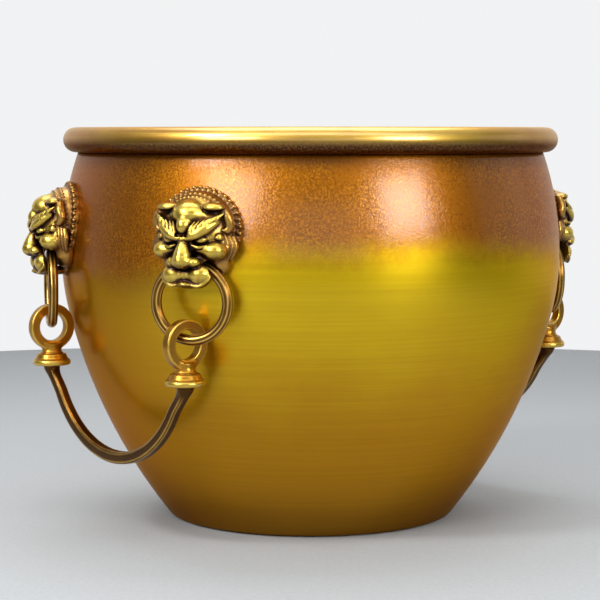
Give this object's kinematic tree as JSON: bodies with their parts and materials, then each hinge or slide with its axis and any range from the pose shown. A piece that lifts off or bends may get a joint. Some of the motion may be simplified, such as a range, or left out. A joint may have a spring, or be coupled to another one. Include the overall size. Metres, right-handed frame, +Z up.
{
  "type": "planter pot",
  "caption": "Round-bellied brass planter pot with a beaded rim and hanging bail handles held by rings in lion masks.",
  "frame": {"origin": "centre of the pot's flat base, on the surface it stands on", "axes": "+Z up along the pot's axis; -X towards the left handle and +X towards the right handle; -Y towards the front"},
  "size_m": [0.2168, 0.2022, 0.157],
  "materials": {
    "pot_brass": "brushed brass, brown speckled patina on the shoulder, clear waxed",
    "rim_brass": "turned and waxed brass with brown speckles underneath",
    "mask_brass": "cast brass, high spots polished, dark brown patina in the hollows",
    "ring_brass": "brown patinated brass with worn bright ridges",
    "bail_brass": "brown patinated brass with worn bright edges",
    "eye_brass": "brushed brass with light brown patina",
    "fastener_steel": "zinc plated"
  },
  "bodies": {
    "root": {"pot_shell": "pot_brass", "rim_bead": "rim_brass", "mask_screws": "fastener_steel", "mask_washers": "fastener_steel", "mask_left_front": "mask_brass", "mask_left_back": "mask_brass", "mask_right_front": "mask_brass", "mask_right_back": "mask_brass"},
    "left_rings": {"ring_left_front": "ring_brass", "ring_left_back": "ring_brass"},
    "left_bail": {"bail_left": "bail_brass", "eye_left_front": "eye_brass", "eye_left_back": "eye_brass", "collar_left_front": "eye_brass", "collar_left_back": "eye_brass"},
    "right_rings": {"ring_right_front": "ring_brass", "ring_right_back": "ring_brass"},
    "right_bail": {"bail_right": "bail_brass", "eye_right_front": "eye_brass", "eye_right_back": "eye_brass", "collar_right_front": "eye_brass", "collar_right_back": "eye_brass"}
  },
  "joints": [
    {"name": "left_rings_swing", "type": "hinge", "parent": "root", "child": "left_rings", "pos_m": [-0.09737, 0, 0.1077], "axis": [0, 1, 0], "range_deg": [0, 25]},
    {"name": "left_bail_swing", "type": "hinge", "parent": "left_rings", "child": "left_bail", "pos_m": [-0.09869, -0.04213, 0.0787], "axis": [0.0153, 0.9999, 0], "range_deg": [-15, 135]},
    {"name": "right_rings_swing", "type": "hinge", "parent": "root", "child": "right_rings", "pos_m": [0.09737, 0, 0.1077], "axis": [0, -1, 0], "range_deg": [0, 25]},
    {"name": "right_bail_swing", "type": "hinge", "parent": "right_rings", "child": "right_bail", "pos_m": [0.09869, -0.04213, 0.0787], "axis": [0.0153, -0.9999, 0], "range_deg": [-15, 135]}
  ]
}
